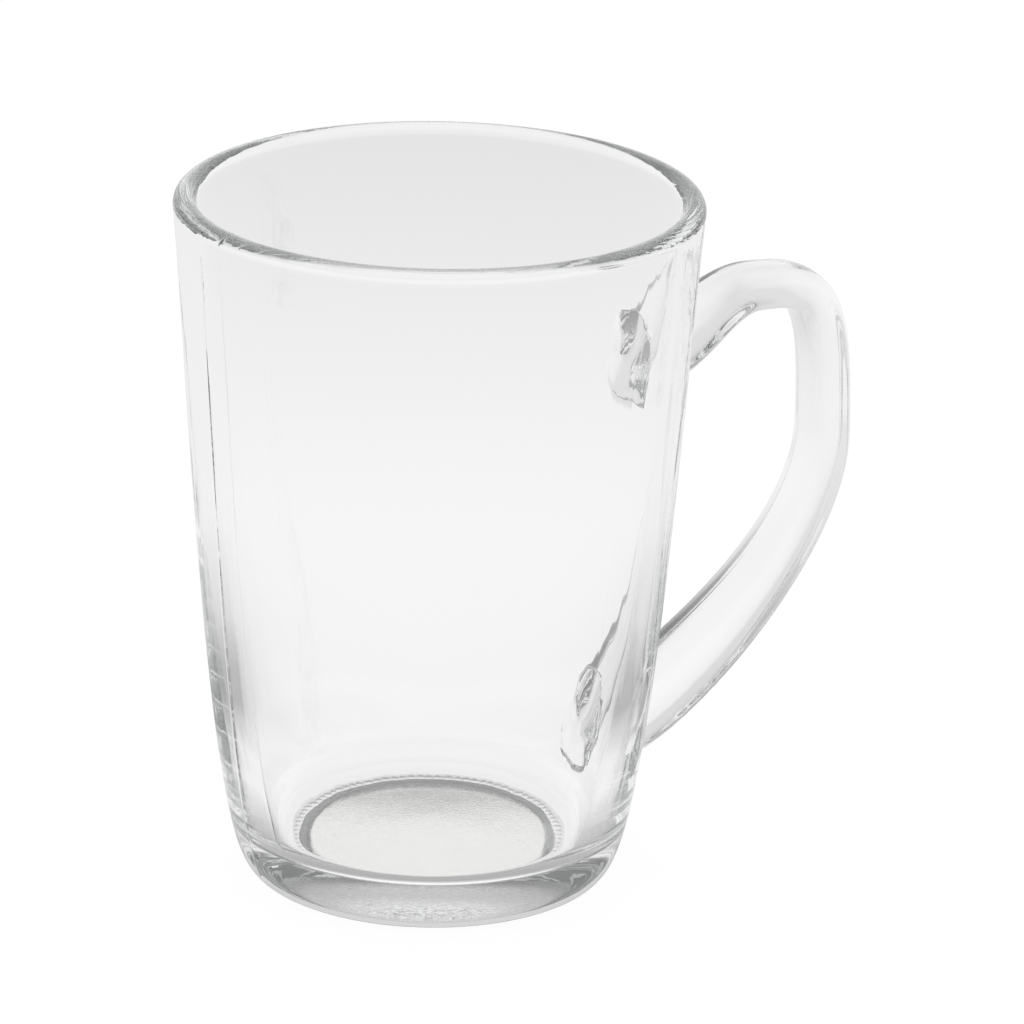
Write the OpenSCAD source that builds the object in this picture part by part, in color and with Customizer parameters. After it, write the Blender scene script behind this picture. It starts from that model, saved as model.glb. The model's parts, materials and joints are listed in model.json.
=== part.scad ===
// Clear pressed-glass mug: a tapered tumbler body with a thick base and a
// looped handle whose two roots are fused to the side of the body.
// The origin is the centre of the base. The handle lies along +X and +Z is up.

/* [Body] */
// Height from the table to the crest of the lip
height = 110; // [80:1:150]
// Outer radius at the mouth, the widest point of the lip
mouth_radius = 40.4; // [34:0.2:52]
// How far the side leans out at the mouth, in degrees
mouth_lean = 5.5; // [2:0.5:10]
// Length of side that keeps the lean of the mouth
mouth_pull = 19; // [8:1:30]
// Outer radius where the side starts, just above the tight heel
heel_radius = 28.4; // [26.5:0.1:31]
// Height of the tight heel above the table
heel_height = 2.1; // [1.6:0.1:3.5]
// How far the side leans out above the heel, in degrees
belly_lean = 40; // [25:1:46]
// Length of side that keeps the lean of the heel
belly_pull = 10.3; // [6:0.1:14]
// Radius of the outer edge of the ring that the mug stands on
foot_radius = 22.3; // [21.5:0.1:25.5]
// Rise of the underside from that ring out to the heel, in degrees
foot_rise = 7; // [3:0.5:12]

/* [Glass thickness] */
// Thickness of the rounded lip
lip_thickness = 3.7; // [2.4:0.1:5]
// Thickness of the side wall just above the floor
low_wall_thickness = 5.5; // [4:0.1:7]
// How soon the wall thins on the way up, where 1 is evenly and 4 is close above the floor
wall_thinning = 4; // [1:0.5:5]
// Height of the inside floor above the table
floor_height = 7.9; // [6:0.1:14]
// Radius of the rounded corner between the side and the floor inside
floor_round = 3.8; // [2:0.2:8]

/* [Underside] */
// Radius of the shallow round recess in the underside
recess_radius = 21.1; // [16:0.1:21.4]
// Depth of the recess at its edge
recess_depth = 1.5; // [0.6:0.1:2.5]
// Extra depth in the middle of the recess, which is slightly domed
recess_dome = 1.1; // [0.1:0.1:1.6]
// Width of the sloped edge of the recess
recess_slope = 2.6; // [0.6:0.1:3.6]

/* [Handle loop] */
// Distance from the mouth radius out to the middle of the grip
grip_reach = 28.8; // [24:0.2:36]
// Height at which the grip stands furthest out
grip_height = 63; // [54:1:70]
// Distance from the lip down to the middle of the upper root
upper_root_drop = 30.3; // [26:0.1:34]
// Rise of the upper arm where it leaves the body, in degrees
upper_root_angle = 22; // [0:1:35]
// Distance from the lip down to the middle of the crest of the loop
crest_drop = 22; // [20:0.2:24]
// Distance from the mouth radius out to the crest of the loop
crest_reach = 14.6; // [12:0.2:18]
// Height of the middle of the lower root
lower_root_height = 19; // [17:0.2:26]
// Rise of the lower arm where it leaves the body, in degrees
lower_root_angle = 24; // [10:1:40]

/* [Handle glass] */
// Thickness of the grip, measured away from the body
grip_thickness = 7; // [5:0.1:9]
// Width of the grip, measured across the plane of the loop
grip_width = 9.4; // [7:0.1:13]
// Thickness of the upper arm where it meets the body
upper_root_thickness = 11; // [8:0.2:13]
// Thickness of the lower arm where it meets the body
lower_root_thickness = 12.6; // [9:0.2:15]
// Width of both arms where they meet the body
root_width = 11; // [9:0.2:15]
// Length over which the upper arm slims down to the grip
upper_flare = 11; // [6:0.5:18]
// Length over which the lower arm slims down to the grip
lower_flare = 38; // [20:1:50]
// Radius of the fused fillet round each root
root_fillet = 2.6; // [1:0.1:4]
// Length over which the end of an arm turns to lie on the side
root_turn = 9; // [5:0.5:14]
// Squareness of the section of the handle, where 2 is an ellipse
section_power = 2.8; // [2:0.1:4]

/* [Fineness] */
// Steps along the curve of the side
side_steps = 24; // [12:1:48]
// Steps round the lip
lip_steps = 12; // [6:1:24]
// Steps round the corner of the floor, and round the heel
corner_steps = 8; // [4:1:16]
// Steps along each third of the loop of the handle
loop_steps = 20; // [12:1:30]
// Sides of the section of the handle
section_sides = 28; // [16:4:40]

/* [Hidden] */
$fn = 128;
glass_tint = [0.88, 0.93, 0.92];
// Share of a corner that a curve's end direction reaches for, near a quarter circle
round_share = 0.552;
// Shares of the heel's width and height over which it keeps the direction of its ends
heel_foot_share = 0.9;
heel_side_share = 0.5;
// How far the handle's ends run into the side before they are cut to it
root_bury = grip_thickness / 2;
// Lengths of loop that keep the direction at its ends, crest and grip
upper_root_pull = grip_thickness;
crest_inner_pull = 0.75 * grip_thickness;
crest_outer_pull = 1.5 * grip_thickness;
grip_upper_pull = 0.95 * (height - crest_drop - grip_height);
grip_lower_pull = 0.43 * (grip_height - lower_root_height);
lower_root_pull = 0.43 * grip_reach;
lip_radius = lip_thickness / 2;
lip_centre = [mouth_radius - lip_radius, height - lip_radius];

// A vector of this length that points angle degrees up from the outward direction
function heading(angle, length) = length * [cos(angle), sin(angle)];

// A point at share t of the cubic curve that runs from a to d by way of b and c
function cubic(a, b, c, d, t) =
    pow(1 - t, 3) * a + 3 * t * pow(1 - t, 2) * b + 3 * t * t * (1 - t) * c + pow(t, 3) * d;

// The points of that curve, in equal shares
function cubic_run(a, b, c, d, steps) = [for (i = [0 : steps]) cubic(a, b, c, d, i / steps)];

// Every point of a run but its first, so that it can follow the run before it
function after_first(run) = [for (i = [1 : len(run) - 1]) run[i]];

// The side of the body, from the heel up to the lip
side_foot = [heel_radius, heel_height];
side_head = lip_centre + heading(-mouth_lean, lip_radius);
side_run = cubic_run(
    side_foot,
    side_foot + heading(90 - belly_lean, belly_pull),
    side_head - heading(90 - mouth_lean, mouth_pull),
    side_head,
    side_steps);

// Radius of the outer side at height z
function side_radius(z) = lookup(z, [for (p = side_run) [p[1], p[0]]]);

// The heel: from the standing ring it rises gently outwards, then turns tightly into the side
foot_edge = [foot_radius, 0];
heel_run = cubic_run(
    foot_edge,
    foot_edge + heading(foot_rise, heel_foot_share * (heel_radius - foot_radius)),
    side_foot - heading(90 - belly_lean, heel_side_share * heel_height),
    side_foot,
    corner_steps);

// The fire-polished lip, a half circle from the outer side over to the inner one
lip_run = [
    for (i = [0 : lip_steps])
        lip_centre + heading(180 * i / lip_steps - mouth_lean, lip_radius)];

// The inner side, from the lip down to the corner of the floor
cavity_low = floor_height + floor_round;
cavity_high = lip_centre[1] + lip_radius * sin(mouth_lean);
lip_wall = lip_thickness * cos(mouth_lean);
function wall_thickness(z) =
    lip_wall
    + (low_wall_thickness - lip_wall)
    * pow(max(0, (cavity_high - z) / (cavity_high - cavity_low)), wall_thinning);
function cavity_radius(z) = side_radius(z) - wall_thickness(z);
cavity_run = [
    for (i = [1 : side_steps])
        let (z = cavity_high + (cavity_low - cavity_high) * i / side_steps)
            [cavity_radius(z), z]];

// The rounded corner of the floor
cavity_foot = [cavity_radius(cavity_low), cavity_low];
cavity_slope = atan2(
    floor_round,
    cavity_radius(cavity_low + floor_round) - cavity_radius(cavity_low));
floor_edge = [cavity_foot[0] - 1.2 * floor_round, floor_height];
floor_run = cubic_run(
    cavity_foot,
    cavity_foot - heading(cavity_slope, round_share * floor_round),
    floor_edge + heading(0, 1.2 * round_share * floor_round),
    floor_edge,
    corner_steps);

// The domed roof of the recess, from its middle out to its edge
recess_run = [
    for (i = [0 : corner_steps])
        [(recess_radius - recess_slope) * i / corner_steps,
         recess_depth + recess_dome * cos(90 * i / corner_steps)]];

// The outline of the body's outside, closed along the axis
envelope_outline = concat([[0, 0]], heel_run, after_first(side_run), [[0, side_head[1]]]);

// The outline of the glass itself, from the recess round to the inside floor
glass_outline = concat(
    recess_run,
    [[recess_radius, 0]],
    heel_run,
    after_first(side_run),
    after_first(lip_run),
    cavity_run,
    after_first(floor_run),
    [[0, floor_height]]);

// The middle line of the handle, in the plane of the loop
upper_root = [side_radius(height - upper_root_drop), height - upper_root_drop];
loop_start = upper_root - heading(upper_root_angle, root_bury);
crest = [mouth_radius + crest_reach, height - crest_drop];
grip = [mouth_radius + grip_reach, grip_height];
lower_root = [side_radius(lower_root_height), lower_root_height];
loop_end = lower_root - heading(lower_root_angle, root_bury);
loop_run = concat(
    cubic_run(
        loop_start,
        loop_start + heading(upper_root_angle, root_bury + upper_root_pull),
        crest - heading(0, crest_inner_pull),
        crest,
        loop_steps),
    after_first(cubic_run(
        crest,
        crest + heading(0, crest_outer_pull),
        grip + heading(90, grip_upper_pull),
        grip,
        loop_steps)),
    after_first(cubic_run(
        grip,
        grip - heading(90, grip_lower_pull),
        loop_end + heading(lower_root_angle, root_bury + lower_root_pull),
        loop_end,
        loop_steps)));
last = len(loop_run) - 1;

// Distance along the loop from its start to each of its points
loop_lengths = [
    for (i = 0, s = 0; i <= last; s = s + (i < last ? norm(loop_run[i + 1] - loop_run[i]) : 0), i = i + 1) s];

// Direction of the loop at point i, in degrees, between its two neighbours
function loop_angle(i) =
    let (step = loop_run[min(i + 1, last)] - loop_run[max(i - 1, 0)])
        atan2(step[1], step[0]);

// Distances of point i from the surface of the body, by the upper and the lower arm
function from_upper(i) = max(0, loop_lengths[i] - root_bury);
function from_lower(i) = max(0, loop_lengths[last] - loop_lengths[i] - root_bury);

// A share that falls smoothly from 1 at the body to 0 along an arm
function fade(distance, reach) = exp(-pow(distance / reach, 2));

// A share that falls from 1 at the body to exactly 0 at the end of the turn
function turn(distance) = pow(max(0, 1 - distance / root_turn), 2);

// The swell of a fused fillet at a distance from the body
function fillet(distance) =
    distance < root_fillet
        ? root_fillet - sqrt(pow(root_fillet, 2) - pow(root_fillet - distance, 2))
        : 0;

function section_thickness(i) =
    grip_thickness
    + (upper_root_thickness - grip_thickness) * fade(from_upper(i), upper_flare)
    + (lower_root_thickness - grip_thickness) * fade(from_lower(i), lower_flare)
    + 2 * fillet(from_upper(i))
    + 2 * fillet(from_lower(i));

function section_width(i) =
    grip_width
    + (root_width - grip_width) * (fade(from_upper(i), upper_flare) + fade(from_lower(i), lower_flare))
    + 2 * fillet(from_upper(i))
    + 2 * fillet(from_lower(i));

// The direction that section i faces: along the loop, but square to the body at a root
function turned(angle, square, share) =
    angle + share * (((square - angle + 540) % 360) - 180);
function section_angle(i) =
    let (upper = turned(loop_angle(i), 0, turn(from_upper(i))))
        turned(upper, 180, turn(from_lower(i)));

// One coordinate of a rounded square of radius 1, from a sine or a cosine
function squared(value) = sign(value) * pow(abs(value), 2 / section_power);

// How far the round side falls back from its foremost line, at a distance aside
function fall_back(z, aside) =
    let (radius = side_radius(z))
        radius - sqrt(pow(radius, 2) - pow(aside, 2));

// The ring of points of section i, in space, bent round the body at a root
function section_ring(i) =
    let (
        facing = section_angle(i),
        wrap = turn(from_upper(i)) + turn(from_lower(i)))
        [for (k = [0 : section_sides - 1])
            let (
                bearing = 360 * (k + 0.5) / section_sides,
                across = squared(cos(bearing)) * section_thickness(i) / 2,
                aside = squared(sin(bearing)) * section_width(i) / 2,
                place = loop_run[i] + heading(facing + 90, across))
                [place[0] - wrap * fall_back(place[1], aside), aside, place[1]]];

// A closed skin over a row of rings that all have the same number of points
module skin(rings) {
    sides = len(rings[0]);
    final = len(rings) - 1;
    points = [for (ring = rings) each ring];
    start_cap = [for (k = [sides - 1 : -1 : 0]) k];
    end_cap = [for (k = [0 : sides - 1]) final * sides + k];
    walls = [
        for (i = [0 : final - 1])
            for (k = [0 : sides - 1])
                let (
                    here = i * sides + k,
                    beside = i * sides + (k + 1) % sides)
                    each [[here, beside, beside + sides], [here, beside + sides, here + sides]]];
    polyhedron(points, concat([start_cap, end_cap], walls));
}

// The outside of the body as one solid, used to cut the handle's roots to fit it
module body_envelope() {
    rotate_extrude()
        polygon(envelope_outline);
}

// Tumbler body: side wall, rounded lip, thick base and recessed underside
module mug_body() {
    color(glass_tint)
        rotate_extrude()
            polygon(glass_outline);
}

// Looped handle, swept along its middle line and seated on the side of the body
module handle() {
    color(glass_tint)
        difference() {
            skin([for (i = [0 : last]) section_ring(i)]);
            body_envelope();
        }
}

mug_body();
handle();
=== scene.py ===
# %% [markdown]
# # A clear pressed-glass mug
# This lesson dresses the measured frame of a glass mug. On the real object there is only
# glass: a tapered tumbler body with a thick base, and a loop handle fused to its side.
# The frame gives the sizes. Blender gives the smooth skin, the fused roots, the fine marks
# that the mould leaves, and a studio in which clear glass can be seen at all.

# %% Load the frame
import json
import math

import bmesh
import bpy
import numpy as np
from mathutils import Matrix, Vector

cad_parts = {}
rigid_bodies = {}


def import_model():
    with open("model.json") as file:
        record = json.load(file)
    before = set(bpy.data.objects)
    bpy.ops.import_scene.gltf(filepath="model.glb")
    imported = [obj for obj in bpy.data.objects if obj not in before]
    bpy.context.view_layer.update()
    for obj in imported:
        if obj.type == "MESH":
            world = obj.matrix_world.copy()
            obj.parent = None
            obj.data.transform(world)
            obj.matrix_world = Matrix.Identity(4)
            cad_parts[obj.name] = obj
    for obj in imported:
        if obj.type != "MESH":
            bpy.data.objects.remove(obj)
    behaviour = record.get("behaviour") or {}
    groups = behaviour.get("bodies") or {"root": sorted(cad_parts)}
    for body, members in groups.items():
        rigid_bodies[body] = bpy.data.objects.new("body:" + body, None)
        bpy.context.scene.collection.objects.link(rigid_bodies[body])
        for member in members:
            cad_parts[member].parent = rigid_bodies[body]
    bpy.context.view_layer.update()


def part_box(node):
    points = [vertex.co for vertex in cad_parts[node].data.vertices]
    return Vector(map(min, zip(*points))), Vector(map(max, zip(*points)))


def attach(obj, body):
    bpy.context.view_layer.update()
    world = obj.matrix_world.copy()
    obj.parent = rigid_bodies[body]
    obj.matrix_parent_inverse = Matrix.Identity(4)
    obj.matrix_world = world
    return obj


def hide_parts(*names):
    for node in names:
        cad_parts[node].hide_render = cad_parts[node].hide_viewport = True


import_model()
MM = 0.001
body_low, body_high = (Vector(corner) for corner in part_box("mug_body"))
handle_low, handle_high = (Vector(corner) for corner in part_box("handle"))
print("body box, mm:", [round(v / MM, 2) for v in (*body_low, *body_high)])
print("handle box, mm:", [round(v / MM, 2) for v in (*handle_low, *handle_high)])

# %% [markdown]
# ## The sizes
# The mug is drawn again here from the same driving sizes as its frame, because glass needs a
# much finer and smoother skin than a solid that only has to be measured. The height and the
# mouth come from the frame itself, so the two can't drift apart.

# %% Sizes of the body
HEIGHT = body_high.z
MOUTH_RADIUS = body_high.y
MOUTH_LEAN = math.radians(5.5)
MOUTH_PULL = 19 * MM
HEEL_RADIUS = 28.4 * MM
HEEL_HEIGHT = 2.1 * MM
BELLY_LEAN = math.radians(40)
BELLY_PULL = 10.3 * MM
FOOT_RADIUS = 22.3 * MM
FOOT_RISE = math.radians(7)
LIP_THICKNESS = 3.7 * MM
LOW_WALL = 5.5 * MM
WALL_THINNING = 4
FLOOR_HEIGHT = 7.9 * MM
FLOOR_ROUND = 3.8 * MM
RECESS_RADIUS = 21.1 * MM
RECESS_DEPTH = 1.5 * MM
RECESS_DOME = 1.1 * MM
RECESS_SLOPE = 2.6 * MM
print("height and mouth, mm:", round(HEIGHT / MM, 2), round(2 * MOUTH_RADIUS / MM, 2))

# %% Sizes of the handle
GRIP_REACH = 28.8 * MM
GRIP_HEIGHT = 63 * MM
UPPER_ROOT_DROP = 30.3 * MM
UPPER_ROOT_ANGLE = math.radians(22)
CREST_DROP = 22 * MM
CREST_REACH = 14.6 * MM
LOWER_ROOT_HEIGHT = 19 * MM
LOWER_ROOT_ANGLE = math.radians(24)
GRIP_THICKNESS = 7 * MM
GRIP_WIDTH = 9.4 * MM
UPPER_ROOT_THICKNESS = 11 * MM
LOWER_ROOT_THICKNESS = 12.6 * MM
ROOT_WIDTH = 11 * MM
UPPER_FLARE = 11 * MM
LOWER_FLARE = 38 * MM
ROOT_FILLET = 2.6 * MM
ROOT_TURN = 9 * MM
SECTION_POWER = 2.8
ROOT_BURY = 1.4 * MM
print("grip, mm from the axis:", round((MOUTH_RADIUS + GRIP_REACH) / MM, 1))

# %% [markdown]
# ## Curves to draw with
# The side of the mug is one long, slightly bowed curve. A cubic curve with a chosen direction
# at each end draws it with four numbers, where a list of points would need dozens.


# %% Curve helpers
def heading(angle, length):
    """A step of that length, angle up from the outward direction."""
    return np.array([math.cos(angle), math.sin(angle)]) * length


def cubic_run(a, b, c, d, steps):
    """Points along the cubic curve from a to d, pulled by b and c."""
    t = np.linspace(0, 1, steps + 1)[:, None]
    return (1 - t) ** 3 * a + 3 * t * (1 - t) ** 2 * b + 3 * t * t * (1 - t) * c + t**3 * d


print("a level step of length 1:", heading(0, 1))

# %% [markdown]
# ## The outline of the glass
# A tumbler is pressed in a round mould, so half of its section, turned about the axis, is the
# whole body. The outline runs out under the base, up the side, over the lip that the flame has
# rounded, down the inside and in across the floor. Few steps would show as flat bands, because
# glass bends light at every facet, and far more would only make the mesh heavy.

# %% Outline of the side and heel
SIDE_STEPS = 72
HEEL_STEPS = 16
HEEL_FOOT_SHARE = 0.9
HEEL_SIDE_SHARE = 0.5
lip_radius = LIP_THICKNESS / 2
lip_centre = np.array([MOUTH_RADIUS - lip_radius, HEIGHT - lip_radius])
side_foot = np.array([HEEL_RADIUS, HEEL_HEIGHT])
side_head = lip_centre + heading(-MOUTH_LEAN, lip_radius)
quarter = math.pi / 2
side_run = cubic_run(
    side_foot,
    side_foot + heading(quarter - BELLY_LEAN, BELLY_PULL),
    side_head - heading(quarter - MOUTH_LEAN, MOUTH_PULL),
    side_head,
    SIDE_STEPS,
)
foot_edge = np.array([FOOT_RADIUS, 0])
heel_run = cubic_run(
    foot_edge,
    foot_edge + heading(FOOT_RISE, HEEL_FOOT_SHARE * (HEEL_RADIUS - FOOT_RADIUS)),
    side_foot - heading(quarter - BELLY_LEAN, HEEL_SIDE_SHARE * HEEL_HEIGHT),
    side_foot,
    HEEL_STEPS,
)
print("side runs from", (side_run[0] / MM).round(2), "to", (side_run[-1] / MM).round(2))


def side_radius(z):
    """Radius of the outer side at height z."""
    return np.interp(z, side_run[:, 1], side_run[:, 0])


# %% Outline of the lip and the inside
LIP_STEPS = 28
CAVITY_STEPS = 64
lip_angles = np.linspace(-MOUTH_LEAN, math.pi - MOUTH_LEAN, LIP_STEPS + 1)
lip_run = np.array([lip_centre + heading(angle, lip_radius) for angle in lip_angles])
cavity_low = FLOOR_HEIGHT + FLOOR_ROUND
cavity_high = lip_run[-1][1]


def cavity_radius(z):
    """Radius of the inner side at height z: the wall thins quickly above the floor."""
    lip_wall = LIP_THICKNESS * math.cos(MOUTH_LEAN)
    share = np.maximum(0, (cavity_high - z) / (cavity_high - cavity_low))
    return side_radius(z) - lip_wall - (LOW_WALL - lip_wall) * share**WALL_THINNING


cavity_z = np.linspace(cavity_high, cavity_low, CAVITY_STEPS + 1)
cavity_run = np.stack([cavity_radius(cavity_z), cavity_z], axis=1)
print("inside at the mouth, mm:", (lip_run[-1] / MM).round(2))

# %% Outline of the floor inside
FLOOR_STEPS = 16
MIDDLE_STEPS = 4
ROUND_SHARE = 0.552
CORNER_SHARE = 1.2
rise = cavity_radius(cavity_low + FLOOR_ROUND) - cavity_radius(cavity_low)
cavity_slope = math.atan2(FLOOR_ROUND, rise)
floor_edge = np.array([cavity_run[-1][0] - CORNER_SHARE * FLOOR_ROUND, FLOOR_HEIGHT])
floor_run = cubic_run(
    cavity_run[-1],
    cavity_run[-1] - heading(cavity_slope, ROUND_SHARE * FLOOR_ROUND),
    floor_edge + heading(0, CORNER_SHARE * ROUND_SHARE * FLOOR_ROUND),
    floor_edge,
    FLOOR_STEPS,
)
middle_radii = np.linspace(floor_edge[0], 0, MIDDLE_STEPS + 1)
floor_flat = np.stack([middle_radii, np.full(MIDDLE_STEPS + 1, FLOOR_HEIGHT)], axis=1)
print("inside at the floor, mm:", (floor_run[0] / MM).round(2))

# %% Outline of the underside
RECESS_ROWS = 12
SLOPE_ROWS = 8
RING_ROWS = 10
SLOPE_POWER = 1.5
roof_share = np.linspace(0, 1, RECESS_ROWS + 1)
roof_radii = (RECESS_RADIUS - RECESS_SLOPE) * roof_share
roof_heights = RECESS_DEPTH + RECESS_DOME * np.cos(quarter * roof_share)
roof_run = np.stack([roof_radii, roof_heights], axis=1)
slope_share = np.linspace(0, 1, SLOPE_ROWS + 1)
slope_radii = RECESS_RADIUS - RECESS_SLOPE * (1 - slope_share)
slope_heights = RECESS_DEPTH * np.cos(quarter * slope_share) ** SLOPE_POWER
slope_run = np.stack([slope_radii, slope_heights], axis=1)
ring_radii = np.linspace(RECESS_RADIUS, FOOT_RADIUS, RING_ROWS + 1)
ring_run = np.stack([ring_radii, np.zeros(RING_ROWS + 1)], axis=1)
following = [slope_run, ring_run, heel_run, side_run, lip_run, cavity_run, floor_run, floor_flat]
outline = np.concatenate([roof_run] + [run[1:] for run in following])
print("points in the outline:", len(outline))

# %% [markdown]
# ## The marks on the body
# Where the two halves of the mould meet, the glass keeps a hair-fine raised seam on each side,
# in the plane of the handle. The ring that the mug stands on is pressed with fine teeth, so that
# hot glass doesn't drag on the belt. Behind each root of the handle the wall is still soft when
# the arm is pressed on, so its inner side sinks there in small ripples. All three are real
# relief, so they are moved points and not a painted pattern, and the columns of the skin stand
# closer together at the seams.

# %% Columns round the body
COLUMNS = 360
SEAM_STEPS = np.radians([-0.7, -0.35, -0.18, 0, 0.18, 0.35, 0.7])
SEAM_CLEARANCE = math.radians(0.9)
even = np.arange(COLUMNS) * 2 * math.pi / COLUMNS
plain = [angle for angle in even if abs(math.sin(angle)) > math.sin(SEAM_CLEARANCE)]
near_handle = [step % (2 * math.pi) for step in SEAM_STEPS]
opposite = [math.pi + step for step in SEAM_STEPS]
columns = np.array(sorted(plain + near_handle + opposite))
print("columns:", len(columns))

# %% Mould seams
SEAM_WIDTH = 0.35 * MM
SEAM_HEIGHT = 0.07 * MM
HANDLE_SEAM_HEIGHT = 0.03 * MM
SEAM_FOOT = 0.3 * HEEL_HEIGHT
SEAM_HEAD = HEIGHT - LIP_THICKNESS
SEAM_FOOT_FADE = 1 * MM
SEAM_HEAD_FADE = 2 * MM


def seam_relief(angle, radius, z):
    """Height of the mould seam at that place on the outer side."""
    distance = abs(math.sin(angle)) * radius
    above = min(1, max(0, (z - SEAM_FOOT) / SEAM_FOOT_FADE))
    below = min(1, max(0, (SEAM_HEAD - z) / SEAM_HEAD_FADE))
    tall = SEAM_HEIGHT if math.cos(angle) < 0 else HANDLE_SEAM_HEIGHT
    return tall * above * below * math.exp(-((distance / SEAM_WIDTH) ** 2))


print("seam, mm:", round(seam_relief(math.pi, HEEL_RADIUS, HEIGHT / 2) / MM, 3))

# %% Teeth of the standing ring
TEETH = 90
TOOTH_DEPTH = 0.16 * MM


def tooth_relief(angle, radius):
    """How far the standing ring is cut back there by its teeth."""
    share = (radius - RECESS_RADIUS) / (FOOT_RADIUS - RECESS_RADIUS)
    window = math.sqrt(max(0, math.sin(math.pi * min(1, max(0, share)))))
    return TOOTH_DEPTH * window * (1 - math.cos(TEETH * angle)) / 2


print("a tooth every", round(2 * math.pi * FOOT_RADIUS / TEETH / MM, 2), "mm")

# %% Sink ripples behind the roots
SINK_RADIUS = 33 * MM
SINK_WIDTH = 4.5 * MM
SINKS = [(HEIGHT - UPPER_ROOT_DROP, 7 * MM), (LOWER_ROOT_HEIGHT, 8 * MM)]
SINK_RIPPLE = 0.55 * MM
SINK_DEPTH = 0.09 * MM
SWAY = 1.3
SWAY_HEIGHT = 3.1 * MM
CROSS_SWAY = 1.7
CROSS_HEIGHT = 2.3 * MM
CROSS_SHARE = 0.3


def sink_relief(angle, z):
    """How far the inner side sank or swelled behind a root while the arm was pressed on."""
    aside = SINK_RADIUS * (angle if angle < math.pi else angle - 2 * math.pi)
    depth = 0
    for root, tall in SINKS:
        window = math.exp(-((aside / SINK_WIDTH) ** 4) - ((z - root) / tall) ** 4)
        ripples = math.sin(aside / SINK_RIPPLE + SWAY * math.sin(z / SWAY_HEIGHT) + root / MM)
        cross = math.sin(z / CROSS_HEIGHT + CROSS_SWAY * math.sin(aside / SINK_RIPPLE))
        depth += window * SINK_DEPTH * ((1 - CROSS_SHARE) * ripples + CROSS_SHARE * cross)
    return depth


print("roots at, mm:", [round(root / MM, 1) for root, tall in SINKS])

# %% [markdown]
# ## The body
# Spinning the outline with a Screw modifier would give a plain body, but then each mark would
# have to be cut afterwards. Placing every point with a function costs no more, and the marks
# are part of the skin from the start. The rows also tell where each finish lies.

# %% Rows of the skin
FIRST_RING = len(roof_run) + len(slope_run) - 1
FIRST_SIDE = FIRST_RING + len(ring_run) - 1
LAST_SIDE = FIRST_SIDE + len(heel_run) + len(side_run) - 2
FIRST_INSIDE = LAST_SIDE + len(lip_run)
LAST_INSIDE = FIRST_INSIDE + len(cavity_run) - 2
CLEAR_FINISH, STIPPLED_FINISH, TOOTHED_FINISH = range(3)


def body_point(row, angle):
    """The place of one point of the skin, with its relief."""
    radius, z = outline[row]
    if FIRST_SIDE <= row < LAST_SIDE:
        radius += seam_relief(angle, radius, z)
    elif FIRST_RING <= row < FIRST_SIDE:
        z += tooth_relief(angle, radius)
    elif FIRST_INSIDE <= row < LAST_INSIDE:
        radius += sink_relief(angle, z)
    return radius * math.cos(angle), radius * math.sin(angle), z


def finish_of(row):
    """The finish of the faces that start at that row."""
    if row < FIRST_RING:
        return STIPPLED_FINISH
    return TOOTHED_FINISH if row < FIRST_SIDE else CLEAR_FINISH


print("rows of the outer side:", FIRST_SIDE, "to", LAST_SIDE)


# %% Skin of the body
def turned_mesh(name):
    """The outline turned about the axis, closed at both ends by a fan."""
    inner_rows = range(1, len(outline) - 1)
    points = [body_point(row, angle) for row in inner_rows for angle in columns]
    count = len(columns)
    start, end = len(points), len(points) + 1
    points += [(0, 0, outline[0][1]), (0, 0, outline[-1][1])]
    faces = []
    for row in range(len(inner_rows) - 1):
        for k in range(count):
            here, beside = row * count + k, row * count + (k + 1) % count
            faces.append((here, beside, beside + count, here + count))
    final = (len(inner_rows) - 1) * count
    for k in range(count):
        beside = (k + 1) % count
        faces.append((start, beside, k))
        faces.append((end, final + k, final + beside))
    mesh = bpy.data.meshes.new(name)
    mesh.from_pydata(points, [], faces)
    finishes = [finish_of(row + 1) for row in range(len(inner_rows) - 1) for k in range(count)]
    fans = [STIPPLED_FINISH, CLEAR_FINISH] * count
    mesh.polygons.foreach_set("material_index", finishes + fans)
    mesh.update()
    return mesh


body = bpy.data.objects.new("mug_glass", turned_mesh("mug_glass"))
bpy.context.collection.objects.link(body)
print("faces in the body:", len(body.data.polygons))

# %% [markdown]
# ## The line of the handle
# The handle is a bar of glass bent into a loop. It is swept along three cubic curves: out of
# the body to the crest, from the crest to the grip, and from the grip back to the body. A
# Blender curve with a bevel could follow the same line, but its section couldn't swell, turn
# and wrap round the body at the roots.

# %% Middle line of the loop
CREST_IN_SHARE = 0.75
CREST_OUT_SHARE = 1.5
GRIP_RISE_SHARE = 0.95
GRIP_FALL_SHARE = 0.43
ROOT_PULL_SHARE = 0.43
ARM_STEPS = 60
TAIL_STEPS = 110
upper_root = np.array([side_radius(HEIGHT - UPPER_ROOT_DROP), HEIGHT - UPPER_ROOT_DROP])
lower_root = np.array([side_radius(LOWER_ROOT_HEIGHT), LOWER_ROOT_HEIGHT])
loop_start = upper_root - heading(UPPER_ROOT_ANGLE, ROOT_BURY)
loop_end = lower_root - heading(LOWER_ROOT_ANGLE, ROOT_BURY)
crest = np.array([MOUTH_RADIUS + CREST_REACH, HEIGHT - CREST_DROP])
grip = np.array([MOUTH_RADIUS + GRIP_REACH, GRIP_HEIGHT])
upper_arm = cubic_run(
    loop_start,
    loop_start + heading(UPPER_ROOT_ANGLE, ROOT_BURY + GRIP_THICKNESS),
    crest - heading(0, CREST_IN_SHARE * GRIP_THICKNESS),
    crest,
    ARM_STEPS,
)
shoulder = cubic_run(
    crest,
    crest + heading(0, CREST_OUT_SHARE * GRIP_THICKNESS),
    grip + heading(quarter, GRIP_RISE_SHARE * (crest[1] - grip[1])),
    grip,
    ARM_STEPS,
)
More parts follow.
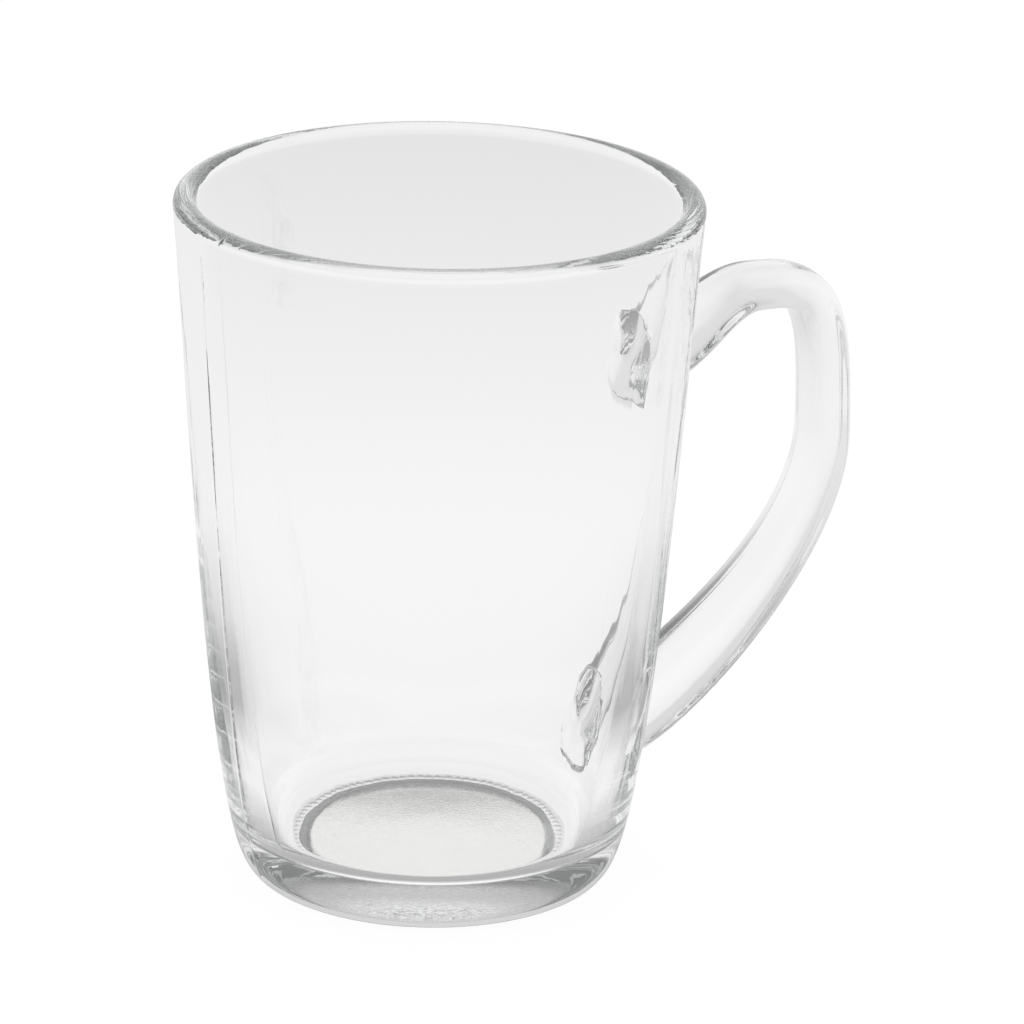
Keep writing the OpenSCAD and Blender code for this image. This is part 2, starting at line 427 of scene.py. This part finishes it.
lower_arm = cubic_run(
    grip,
    grip - heading(quarter, GRIP_FALL_SHARE * (grip[1] - lower_root[1])),
    loop_end + heading(LOWER_ROOT_ANGLE, ROOT_BURY + ROOT_PULL_SHARE * GRIP_REACH),
    loop_end,
    TAIL_STEPS,
)
drawn = np.concatenate([upper_arm, shoulder[1:], lower_arm[1:]])
drawn_travel = np.concatenate([[0], np.cumsum(np.linalg.norm(np.diff(drawn, axis=0), axis=1))])
print("length of the loop, mm:", round(drawn_travel[-1] / MM, 1))

# %% Stations along the loop, closer at the roots
RINGS = 150
CROWDING = 0.11
share = np.linspace(0, 1, RINGS + 1)
travel = drawn_travel[-1] * (share - CROWDING * np.sin(2 * math.pi * share))
loop = np.stack([np.interp(travel, drawn_travel, drawn[:, axis]) for axis in (0, 1)], axis=1)
along = np.gradient(loop, axis=0)
loop_angles = np.unwrap(np.arctan2(along[:, 1], along[:, 0]))
from_upper = np.maximum(0, travel - ROOT_BURY)
from_lower = np.maximum(0, travel[-1] - travel - ROOT_BURY)
print("widest step, mm:", round(np.diff(travel).max() / MM, 2))

# %% [markdown]
# ## The section of the handle
# The section is a rounded square, slim at the grip and swelling towards both roots. Near the
# body it turns to lie on the side and flares out in a fillet, as hot glass does where it joins.


# %% Swell and turn of the section
def fade(distance, reach):
    """Falls smoothly from 1 at the body to 0 along an arm."""
    return np.exp(-((distance / reach) ** 2))


def turn(distance):
    """Falls from 1 at the body to 0 where the arm has turned to its own direction."""
    return np.maximum(0, 1 - distance / ROOT_TURN) ** 2


def fillet(distance):
    """The swell of the fused fillet at a distance from the body."""
    inside = np.minimum(distance, ROOT_FILLET)
    return ROOT_FILLET - np.sqrt(ROOT_FILLET**2 - (ROOT_FILLET - inside) ** 2)


fillets = 2 * (fillet(from_upper) + fillet(from_lower))
swell_upper = fade(from_upper, UPPER_FLARE)
swell_lower = fade(from_lower, LOWER_FLARE)
thickness = (
    GRIP_THICKNESS
    + (UPPER_ROOT_THICKNESS - GRIP_THICKNESS) * swell_upper
    + (LOWER_ROOT_THICKNESS - GRIP_THICKNESS) * swell_lower
    + fillets
)
width = GRIP_WIDTH + (ROOT_WIDTH - GRIP_WIDTH) * (swell_upper + swell_lower) + fillets
facing = loop_angles * (1 - turn(from_upper))
facing = facing + (-math.pi - facing) * turn(from_lower)
wrap = turn(from_upper) + turn(from_lower)
print("grip, mm:", round(thickness.min() / MM, 2), "by", round(width.min() / MM, 2))

# %% [markdown]
# ## The marks on the handle
# The arm is pressed in its own mould, so a fine seam runs along its middle on both sides. Hot
# glass spreads unevenly where it is pressed on, so the edge of each root is a little wavy. The
# underside of the lower arm touched cooler metal, which left fine cold wrinkles there. These
# shapes catch most of the light in a clear handle, so they are relief in the skin too.

# %% Bearings round the section
EVEN_SIDES = 64
spaced = (np.arange(EVEN_SIDES) + 0.5) * 2 * math.pi / EVEN_SIDES
ARM_SEAM_STEPS = np.radians([-1.2, -0.6, -0.25, 0, 0.25, 0.6, 1.2])
at_seams = [ARM_SEAM_STEPS % (2 * math.pi), ARM_SEAM_STEPS + math.pi]
bearings = np.sort(np.concatenate([spaced, *at_seams]))
SIDES = len(bearings)
print("points round a section:", SIDES)

# %% Uneven feet, cold wrinkles and seam
FOOT_REACH = 1.5 * MM
FOOT_LOBES = [(3, 0.05, 0.4), (5, 0.04, 1.9), (8, 0.025, 2.6), (13, 0.015, 0.7)]
WRINKLE_DEPTH = 0.07 * MM
WRINKLE_PLACE = 13 * MM
WRINKLE_REACH = 6 * MM
WRINKLE_LENGTH = 0.33 * MM
WRINKLE_WIDTH = 0.9 * MM
WRINKLE_SWAY = 2.2
WRINKLE_DRIFT = 1.4
DRIFT_LENGTHS = 2.7
ARM_SEAM_WIDTH = 0.16 * MM
ARM_SEAM_HEIGHT = 0.05 * MM


def uneven(i):
    """How far hot glass spread at each bearing of a root's foot, as a factor near 1."""
    near = math.exp(-((min(from_upper[i], from_lower[i]) / FOOT_REACH) ** 2))
    lobes = sum(size * np.sin(count * bearings + start) for count, size, start in FOOT_LOBES)
    return 1 + near * lobes


def wrinkles(i, aside):
    """Depth of the cold wrinkles on the underside of the lower arm."""
    window = math.exp(-(((from_lower[i] - WRINKLE_PLACE) / WRINKLE_REACH) ** 4))
    under = np.sqrt(np.maximum(0, np.cos(bearings)))
    lengthwise = from_lower[i] / WRINKLE_LENGTH
    sway = WRINKLE_SWAY * np.sin(aside / WRINKLE_WIDTH)
    drift = WRINKLE_DRIFT * math.sin(lengthwise / DRIFT_LENGTHS)
    return WRINKLE_DEPTH * window * under * (1 + np.sin(lengthwise + sway + drift)) / 2


def arm_seam(i, aside):
    """Height of the seam along the arm, which ends where the arm turns into a root."""
    return ARM_SEAM_HEIGHT * (1 - wrap[i]) * np.exp(-((aside / ARM_SEAM_WIDTH) ** 2))


print("a foot spreads by up to", round(100 * (uneven(0).max() - 1), 1), "percent")


# %% Skin of the handle
def squared(value):
    """One coordinate of a rounded square of radius 1."""
    return np.sign(value) * np.abs(value) ** (2 / SECTION_POWER)


def handle_ring(i):
    """The points of section i, bent round the body where it is a root."""
    across = squared(np.cos(bearings)) * thickness[i] / 2 * uneven(i)
    aside = squared(np.sin(bearings)) * width[i] / 2 * uneven(i)
    across = across + np.sign(across) * (arm_seam(i, aside) - wrinkles(i, aside))
    x = loop[i][0] + across * math.cos(facing[i] + quarter)
    z = loop[i][1] + across * math.sin(facing[i] + quarter)
    radius = side_radius(z)
    bent = wrap[i] * (radius - np.sqrt(radius**2 - aside**2))
    return np.stack([np.minimum(x - bent, handle_high.x), aside, z], axis=1)


def swept_mesh(name):
    """A closed skin over the rings of the handle."""
    rings = [handle_ring(i) for i in range(len(loop))]
    points = np.concatenate(rings)
    faces = [tuple(range(SIDES - 1, -1, -1)), tuple(range(len(points) - SIDES, len(points)))]
    for i in range(len(rings) - 1):
        for k in range(SIDES):
            here, beside = i * SIDES + k, i * SIDES + (k + 1) % SIDES
            faces.append((here, beside, beside + SIDES, here + SIDES))
    mesh = bpy.data.meshes.new(name)
    mesh.from_pydata([tuple(point) for point in points], [], faces)
    mesh.update()
    return mesh


handle = bpy.data.objects.new("handle_glass", swept_mesh("handle_glass"))
bpy.context.collection.objects.link(handle)
print("faces in the handle:", len(handle.data.polygons))

# %% [markdown]
# ## The finishes
# Three finishes make this mug. The sides were fire-polished and are clear, with the faint waves
# that a mould leaves. Their tint is all but neutral and only shows where light runs far inside
# the glass, so it is a volume and not a paint. The recess was stippled in the mould, and the ring
# that the mug stands on is duller and more mottled, because it rubs on the table; its colour is
# a little darker too, which is painted shade where it rests on the floor. A glass shader alone
# would be flawless, and flawless glass looks like plastic. Pictures of scratches could be
# wrapped over it, but noise nodes need no unwrapping and leave no joints.


# %% Helpers for the finishes
MIDDLE_HALF = (0.25, 0.75)


def noise(tree, size, detail=2, upright=1):
    """A noise whose features are about that size, from 0 to 1, and upright times as tall."""
    place = tree.nodes.new("ShaderNodeTexCoord")
    stretch = tree.nodes.new("ShaderNodeMapping")
    stretch.inputs["Scale"].default_value = (1, 1, 1 / upright)
    cloud = tree.nodes.new("ShaderNodeTexNoise")
    cloud.inputs["Scale"].default_value = 1 / size
    cloud.inputs["Detail"].default_value = detail
    tree.links.new(place.outputs["Object"], stretch.inputs["Vector"])
    tree.links.new(stretch.outputs["Vector"], cloud.inputs["Vector"])
    return cloud.outputs["Fac"]


def spread(tree, source, low, high):
    """Stretches the middle half of a noise over low to high."""
    fit = tree.nodes.new("ShaderNodeMapRange")
    for name, value in zip(("From Min", "From Max", "To Min", "To Max"), (*MIDDLE_HALF, low, high)):
        fit.inputs[name].default_value = value
    tree.links.new(source, fit.inputs["Value"])
    return fit.outputs["Result"]


def relief(tree, shader, source, depth):
    """Roughens a surface by a height that runs from 0 to depth."""
    bump = tree.nodes.new("ShaderNodeBump")
    bump.inputs["Distance"].default_value = depth
    tree.links.new(source, bump.inputs["Height"])
    tree.links.new(bump.outputs["Normal"], shader.inputs["Normal"])


print("helpers:", [helper.__name__ for helper in (noise, spread, relief)])

# %% Glass with its tint
GLASS_IOR = 1.5
TINT = (0.945, 0.966, 0.962, 1)
TINT_DENSITY = 5
LONG_WAY = 100 * MM


def glass(name, colour):
    """Glass with the body's own tint, ready for its relief."""
    material = bpy.data.materials.new(name)
    material.use_nodes = True
    tree = material.node_tree
    shader = tree.nodes["Principled BSDF"]
    shader.inputs["Base Color"].default_value = colour
    shader.inputs["IOR"].default_value = GLASS_IOR
    shader.inputs["Transmission Weight"].default_value = 1
    tint = tree.nodes.new("ShaderNodeVolumeAbsorption")
    tint.inputs["Color"].default_value = TINT
    tint.inputs["Density"].default_value = TINT_DENSITY
    tree.links.new(tint.outputs["Volume"], tree.nodes["Material Output"].inputs["Volume"])
    return material, tree, shader


red_left = math.exp(-TINT_DENSITY * (1 - TINT[0]) * LONG_WAY)
print("share of red light left after", round(LONG_WAY / MM), "mm of glass:", round(red_left, 3))

# %% Clear glass
CLEAR = (1, 1, 1, 1)
WAVE_SIZE = 7 * MM
WAVE_STRETCH = 6
WAVE_DEPTH = 0.07 * MM
HAZE_SIZE = 21 * MM
HAZE = 0.012
clear, tree, shader = glass("clear_glass", CLEAR)
relief(tree, shader, noise(tree, WAVE_SIZE, upright=WAVE_STRETCH), WAVE_DEPTH)
tree.links.new(spread(tree, noise(tree, HAZE_SIZE), 0, HAZE), shader.inputs["Roughness"])
print(clear.name, "nodes:", len(tree.nodes))

# %% Stippled glass
FROST = (1, 0.988, 0.95, 1)
STIPPLE_SIZE = 0.5 * MM
STIPPLE_DEPTH = 0.02 * MM
STIPPLE_ROUGHNESS = (0.03, 0.35)
FINE_DETAIL = 4
stippled, tree, shader = glass("stippled_glass", FROST)
relief(tree, shader, noise(tree, STIPPLE_SIZE), STIPPLE_DEPTH)
grain = noise(tree, STIPPLE_SIZE, FINE_DETAIL)
tree.links.new(spread(tree, grain, *STIPPLE_ROUGHNESS), shader.inputs["Roughness"])
print(stippled.name, "nodes:", len(tree.nodes))

# %% Toothed glass
# The ring's colour is a little darker than clear glass: painted shade where it rests on the floor.
RING_PAINTED_SHADE = (0.93, 0.935, 0.93, 1)
MOTTLE_SIZE = 4 * MM
TOOTHED_ROUGHNESS = (0.2, 0.45)
toothed, tree, shader = glass("toothed_glass", RING_PAINTED_SHADE)
relief(tree, shader, noise(tree, STIPPLE_SIZE), STIPPLE_DEPTH)
mottle = noise(tree, MOTTLE_SIZE, FINE_DETAIL)
tree.links.new(spread(tree, mottle, *TOOTHED_ROUGHNESS), shader.inputs["Roughness"])
for finish in (clear, stippled, toothed):
    body.data.materials.append(finish)
handle.data.materials.append(clear)
print("finishes:", [finish.name for finish in body.data.materials])

# %% [markdown]
# ## One skin of glass
# Light crosses from the handle into the body without meeting a surface, because the two are
# fused. Two separate skins would show a false mirror at each root. A voxel remesh would join
# them, but it would blur the fine marks, so the handle is joined to the body by an exact union.


# %% Fuse the handle to the body
MILLILITRE = (10 * MM) ** 3


def fuse(target, tool):
    """Joins tool to target as one closed skin and removes tool."""
    union = target.modifiers.new("fuse", "BOOLEAN")
    union.operation = "UNION"
    union.solver = "EXACT"
    union.object = tool
    graph = bpy.context.evaluated_depsgraph_get()
    fused = bpy.data.meshes.new_from_object(target.evaluated_get(graph))
    target.modifiers.clear()
    target.data = fused
    bpy.data.objects.remove(tool)


def tidy_normals(obj):
    """Makes every face look outwards, and shades the whole skin smoothly."""
    skin = bmesh.new()
    skin.from_mesh(obj.data)
    bmesh.ops.recalc_face_normals(skin, faces=skin.faces)
    print("glass, ml:", round(skin.calc_volume(signed=True) / MILLILITRE, 1))
    print("open edges:", sum(1 for edge in skin.edges if not edge.is_manifold))
    skin.to_mesh(obj.data)
    skin.free()
    obj.data.polygons.foreach_set("use_smooth", [True] * len(obj.data.polygons))
    obj.data.update()


tidy_normals(body)
tidy_normals(handle)
fuse(body, handle)
tidy_normals(body)

# %% Hand the glass to its body
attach(body, "root")
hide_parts("mug_body", "handle")
print("one piece of glass:", body.name)

# %% [markdown]
# ## The studio
# Clear glass has no colour of its own: it shows the light behind it, bent. Glass on white is
# photographed bright field, over a white floor whose glow is a painted pool of light that fades
# a little with distance, and under a dimmer ceiling. Light that passed straight through stays
# white. Light that the glass has mirrored, in the lip, the edges of the wall and the base, comes
# from the dimmer room and draws the grey lines. Lamps could do the same with cards placed round
# the mug, but then it would only read from one side. Here the room is the same all round, and it
# is painted with ramps, so every level can be set by itself.

# %% Helpers for the studio
WHITE = (1, 1, 1, 1)
MIX_COLOURS = (6, 7)
MIX_RESULT = 2


def grey_ramp(tree, source, stops, blend="B_SPLINE"):
    """A brightness that follows source through (place, level) stops. Levels are linear light."""
    ramp = tree.nodes.new("ShaderNodeValToRGB")
    ramp.color_ramp.interpolation = blend
    while len(ramp.color_ramp.elements) < len(stops):
        ramp.color_ramp.elements.new(0.5)
    for element, (place, level) in zip(ramp.color_ramp.elements, stops):
        element.position = place
        element.color = (level, level, level, 1)
    tree.links.new(source, ramp.inputs["Fac"])
    return ramp.outputs["Color"]


def choose(tree, factor, low, high):
    """low where factor is 0, high where it is 1."""
    mix = tree.nodes.new("ShaderNodeMix")
    mix.data_type = "RGBA"
    tree.links.new(factor, mix.inputs["Factor"])
    for value, slot in zip((low, high), MIX_COLOURS):
        if isinstance(value, tuple):
            mix.inputs[slot].default_value = value
        else:
            tree.links.new(value, mix.inputs[slot])
    return mix.outputs[MIX_RESULT]


def mirrored_once(tree, light_path):
    """1 for light that the glass has mirrored at least once, else 0."""
    test = tree.nodes.new("ShaderNodeMath")
    test.operation = "GREATER_THAN"
    test.inputs[1].default_value = 0.5
    tree.links.new(light_path.outputs["Glossy Depth"], test.inputs[0])
    return test.outputs[0]


print("helpers:", [helper.__name__ for helper in (grey_ramp, choose, mirrored_once)])

# %% [markdown]
# ## The room
# The world holds the walls and the ceiling. For passed light it is a soft white that dims
# overhead. For mirrored light it is nearly white at eye level and dark high up, because that is
# where the lip and the corner of the base look. The camera itself sees plain white.

# %% The room
# Places run from 0, straight down, through 0.5, the horizon, to 1, straight up.
PASSED_ROOM = [(0.0, 0.7), (0.5, 0.75), (0.62, 0.75), (0.8, 0.6), (1.0, 0.55)]
MIRRORED_LOW = [(0.0, 0.7), (0.42, 0.94), (0.54, 0.9), (0.65, 0.84)]
MIRRORED_HIGH = [(0.73, 0.32), (0.83, 0.1), (1.0, 0.3)]
world = bpy.data.worlds.new("studio")
bpy.context.scene.world = world
world.use_nodes = True
room = world.node_tree
path = room.nodes.new("ShaderNodeLightPath")
gaze = room.nodes.new("ShaderNodeTexCoord")
axes = room.nodes.new("ShaderNodeSeparateXYZ")
room.links.new(gaze.outputs["Generated"], axes.inputs["Vector"])
height_share = room.nodes.new("ShaderNodeMapRange")
height_share.inputs["From Min"].default_value = -1
room.links.new(axes.outputs["Z"], height_share.inputs["Value"])
passed = grey_ramp(room, height_share.outputs["Result"], PASSED_ROOM)
mirrored = grey_ramp(room, height_share.outputs["Result"], MIRRORED_LOW + MIRRORED_HIGH)
seen = choose(room, mirrored_once(room, path), passed, mirrored)
seen = choose(room, path.outputs["Is Camera Ray"], seen, WHITE)
room.links.new(seen, room.nodes["Background"].inputs["Color"])
print("the room overhead passes", PASSED_ROOM[-1][1], "and mirrors", MIRRORED_HIGH[-1][1])

# %% [markdown]
# ## The floor
# The floor is white paint that glows a little, and it keeps the shadow of the mug. Passed light
# sees its glow fade with distance, a painted pool of light round the mug. Mirrored light looks
# down through the thick base, and meets painted rings in the glow: first a painted bright spot
# under the mug, then a painted shadow at its heel, a painted bright ring just outside, a painted
# shadow of the wall, and then the open floor. Those painted rings are what makes the bands in the
# base.

# %% The levels of the floor
# Places run from 0, under the middle of the mug, to 1, at FADE_REACH from it.
FLOOR_GAP = 0.05 * MM
FLOOR_HALF = 3
FADE_REACH = 0.5
FLOOR_GLOW = 0.94
FLOOR_PAINT = 0.12
# For passed light the floor's glow is a painted pool of light, brightest under the mug and fading
# with distance.
PASSED_FLOOR = [(0.0, 0.93), (0.16, 0.87), (0.31, 0.865), (0.49, 0.81), (0.75, 0.71), (1.0, 0.66)]
# For mirrored light the floor's glow holds painted rings: a painted bright spot under the mug, a
# painted shadow at its heel, a painted bright ring just outside and a painted shadow of the wall.
PAINTED_SPOT_AND_HEEL_SHADOW = [(0.0, 1.0), (0.039, 1.0), (0.046, 0.42), (0.066, 0.42)]
PAINTED_RING_AND_WALL_SHADOW = [(0.09, 0.92), (0.11, 0.92), (0.145, 0.4), (0.17, 0.44)]
OPEN_FLOOR = [(0.22, 0.7), (0.32, 0.85), (1.0, 0.8)]
print("the mug's heel lies at place", round(HEEL_RADIUS / FADE_REACH, 3))

# %% The floor itself
bpy.ops.mesh.primitive_plane_add(size=2 * FLOOR_HALF, location=(0, 0, -FLOOR_GAP))
floor = bpy.context.object
floor.name = "floor"
floor_paint = bpy.data.materials.new("white_floor")
floor_paint.use_nodes = True
tree = floor_paint.node_tree
paint = tree.nodes["Principled BSDF"]
paint.inputs["Base Color"].default_value = (FLOOR_PAINT, FLOOR_PAINT, FLOOR_PAINT, 1)
paint.inputs["Roughness"].default_value = 1
paint.inputs["Specular IOR Level"].default_value = 0
spot = tree.nodes.new("ShaderNodeNewGeometry")
away = tree.nodes.new("ShaderNodeVectorMath")
away.operation = "LENGTH"
tree.links.new(spot.outputs["Position"], away.inputs[0])
reach = tree.nodes.new("ShaderNodeMapRange")
reach.inputs["From Max"].default_value = FADE_REACH
tree.links.new(away.outputs["Value"], reach.inputs["Value"])
floor_path = tree.nodes.new("ShaderNodeLightPath")
floor_seen = choose(
    tree,
    mirrored_once(tree, floor_path),
    grey_ramp(tree, reach.outputs["Result"], PASSED_FLOOR),
    grey_ramp(tree, reach.outputs["Result"], PAINTED_SPOT_AND_HEEL_SHADOW + PAINTED_RING_AND_WALL_SHADOW + OPEN_FLOOR, "LINEAR"),
)
glow = (FLOOR_GLOW, FLOOR_GLOW, FLOOR_GLOW, 1)
floor_seen = choose(tree, floor_path.outputs["Is Camera Ray"], floor_seen, glow)
tree.links.new(floor_seen, paint.inputs["Emission Color"])
paint.inputs["Emission Strength"].default_value = 1
floor.data.materials.append(floor_paint)
print("floor, m:", 2 * FLOOR_HALF, "square")

# %% [markdown]
# ## Bounces
# Light that enters the rim is guided down inside the wall and meets its two sides dozens of
# times. Where the renderer gives up on it, the glass turns black. More bounces cost little
# here, because only a few paths use them.

# %% Light enough bounces for thick glass
BOUNCES = 64
cycles = bpy.context.scene.cycles
cycles.max_bounces = BOUNCES
cycles.transmission_bounces = BOUNCES
cycles.glossy_bounces = BOUNCES
print("bounces:", BOUNCES)

# %% [markdown]
# ## The camera
# The camera stands about a metre away and above the rim, with the handle on its right, and
# looks through a long lens, so the rim stays a calm ellipse. It could be placed by eye, but
# two angles and a distance can be checked. It aims past the mug by as much as the mug stands
# off the centre of the picture, which needs no shift of the lens.

# %% Place of the camera
TILT = math.radians(19.81)
BEARING = math.radians(-27.9)
ROLL = math.radians(1.04)
DISTANCE = 1018.5 * MM
TARGET_HEIGHT = 54.2 * MM
FRAME_PIXELS = 1024
FOCAL_PIXELS = 6614
TARGET_X = 433.7
TARGET_Y = 539.9
target = Vector((0, 0, TARGET_HEIGHT))
outward = Vector((math.sin(BEARING), -math.cos(BEARING), 0))
back = outward * math.cos(TILT) + Vector((0, 0, math.sin(TILT)))
level = Vector((math.cos(BEARING), math.sin(BEARING), 0))
upright = back.cross(level)
right = level * math.cos(ROLL) + upright * math.sin(ROLL)
up = upright * math.cos(ROLL) - level * math.sin(ROLL)
centre = FRAME_PIXELS / 2
place = target + back * DISTANCE
aside = right * (centre - TARGET_X) + up * (TARGET_Y - centre)
aim = target + aside * DISTANCE / FOCAL_PIXELS
look = (place - aim).normalized()
side = up.cross(look).normalized()
print("camera at, mm:", [round(v / MM) for v in place])

# %% Camera
SENSOR = 36
NEAR = 10 * MM
camera_data = bpy.data.cameras.new("camera")
camera_data.sensor_width = SENSOR
camera_data.lens = SENSOR * FOCAL_PIXELS / FRAME_PIXELS
camera_data.clip_start = NEAR
camera = bpy.data.objects.new("camera", camera_data)
bpy.context.collection.objects.link(camera)
turned = Matrix((side, look.cross(side), look)).transposed().to_4x4()
camera.matrix_world = Matrix.Translation(place) @ turned
bpy.context.scene.camera = camera
bpy.context.scene.view_settings.view_transform = "Standard"
print("lens, mm:", round(camera_data.lens, 1))
